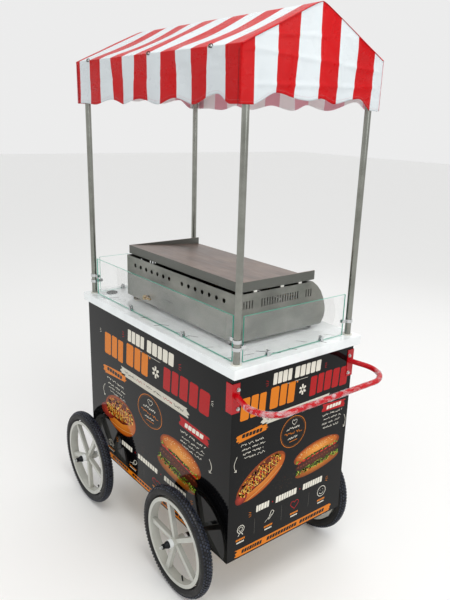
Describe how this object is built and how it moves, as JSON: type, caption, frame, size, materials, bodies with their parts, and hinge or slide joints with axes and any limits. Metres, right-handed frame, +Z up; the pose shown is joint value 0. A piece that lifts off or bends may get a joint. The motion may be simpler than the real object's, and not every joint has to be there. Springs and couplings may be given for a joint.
{
  "type": "push vending cart",
  "caption": "Boxed food cart on spoked wheels with a gas griddle, glass guards, push handle and striped gable canopy.",
  "frame": {"origin": "on the floor, at the middle of the cart's overall length and width", "axes": "+X points to the push handle, -Y to the customer, +Y to the operator, +Z up"},
  "size_m": [1.6082, 1.0006, 2.445],
  "materials": {
    "tyre": "moulded rubber with knobs",
    "wheel_nylon": "moulded light grey nylon",
    "bearing_white": "smooth white",
    "axle_steel": "turned",
    "black_steel": "black paint",
    "galvanised_steel": "galvanised",
    "clear_glass": "clear, polished edges",
    "knob_black": "moulded",
    "frame_grey": "grey paint",
    "plywood": "sanded plywood",
    "panel_black": "printed and laminated, glossy",
    "track_aluminium": "mill finish",
    "stainless": "brushed stainless",
    "white_laminate": "white gloss laminate on board",
    "rubber_black": "moulded",
    "chrome": "plated",
    "collar_plastic": "pale moulded",
    "striped_pvc": "glossy coated cloth, red and white stripes",
    "plate_steel": "ground hot plate",
    "stand_ceramic": "white",
    "burner_steel": "heat-tinted",
    "brass": "machined",
    "red_powder_coat": "red powder coat",
    "zinc_steel": "zinc plated"
  },
  "bodies": {
    "root": {"axle_left": "axle_steel", "axle_right": "axle_steel", "axle_hardware": "black_steel", "axle_brackets": "black_steel", "chassis_frame": "frame_grey", "cabinet_floor": "plywood", "shelf": "plywood", "front_panel": "panel_black", "left_panel": "panel_black", "right_panel": "panel_black", "rear_fascia": "panel_black", "door_tracks": "track_aluminium", "worktop": "white_laminate", "cable_grommet": "rubber_black", "glass_front": "clear_glass", "glass_left": "clear_glass", "glass_right": "clear_glass", "glass_clips": "chrome", "post_clamps": "chrome", "post_front_left": "galvanised_steel", "post_front_right": "galvanised_steel", "post_rear_left": "galvanised_steel", "post_rear_right": "galvanised_steel", "post_collars": "collar_plastic", "canopy_frame": "galvanised_steel", "canopy_tees": "galvanised_steel", "canopy_cover": "striped_pvc", "griddle_casing": "stainless", "griddle_panel": "stainless", "griddle_plate": "plate_steel", "plate_stands": "stand_ceramic", "griddle_feet": "rubber_black", "griddle_burners": "burner_steel", "gas_manifold": "brass", "drawer_runners": "stainless", "handle_bar": "red_powder_coat", "handle_brackets": "red_powder_coat", "handle_bolts": "zinc_steel"},
    "wheel_front_left": {"tyre_front_left": "tyre", "rim_front_left": "wheel_nylon", "bearings_front_left": "bearing_white"},
    "wheel_front_right": {"tyre_front_right": "tyre", "rim_front_right": "wheel_nylon", "bearings_front_right": "bearing_white"},
    "wheel_rear_left": {"tyre_rear_left": "tyre", "rim_rear_left": "wheel_nylon", "bearings_rear_left": "bearing_white"},
    "wheel_rear_right": {"tyre_rear_right": "tyre", "rim_rear_right": "wheel_nylon", "bearings_rear_right": "bearing_white"},
    "door_left": {"door_left": "panel_black", "pull_left": "stainless"},
    "door_right": {"door_right": "panel_black", "pull_right": "stainless"},
    "knob_left": {"knob_left": "knob_black"},
    "knob_middle": {"knob_middle": "knob_black"},
    "knob_right": {"knob_right": "knob_black"},
    "drawer": {"grease_drawer": "stainless"}
  },
  "joints": [
    {"name": "wheel_front_left_spin", "type": "hinge", "parent": "root", "child": "wheel_front_left", "pos_m": [-0.55025, -0.415, 0.254], "axis": [0, 1, 0], "continuous": true},
    {"name": "wheel_front_right_spin", "type": "hinge", "parent": "root", "child": "wheel_front_right", "pos_m": [0.31875, -0.415, 0.254], "axis": [0, 1, 0], "continuous": true},
    {"name": "wheel_rear_left_spin", "type": "hinge", "parent": "root", "child": "wheel_rear_left", "pos_m": [-0.55025, 0.415, 0.254], "axis": [0, 1, 0], "continuous": true},
    {"name": "wheel_rear_right_spin", "type": "hinge", "parent": "root", "child": "wheel_rear_right", "pos_m": [0.31875, 0.415, 0.254], "axis": [0, 1, 0], "continuous": true},
    {"name": "door_left_slide", "type": "slide", "parent": "root", "child": "door_left", "axis": [1, 0, 0], "range_m": [0, 0.55]},
    {"name": "door_right_slide", "type": "slide", "parent": "root", "child": "door_right", "axis": [-1, 0, 0], "range_m": [0, 0.55]},
    {"name": "knob_left_turn", "type": "hinge", "parent": "root", "child": "knob_left", "pos_m": [-0.26307, 0.3033, 1.262], "axis": [0, 1, 0], "range_deg": [0, 210]},
    {"name": "knob_middle_turn", "type": "hinge", "parent": "root", "child": "knob_middle", "pos_m": [-0.00425, 0.3033, 1.262], "axis": [0, 1, 0], "range_deg": [0, 210]},
    {"name": "knob_right_turn", "type": "hinge", "parent": "root", "child": "knob_right", "pos_m": [0.25457, 0.3033, 1.262], "axis": [0, 1, 0], "range_deg": [0, 210]},
    {"name": "drawer_slide", "type": "slide", "parent": "root", "child": "drawer", "axis": [0, 1, 0], "range_m": [0, 0.25]}
  ]
}
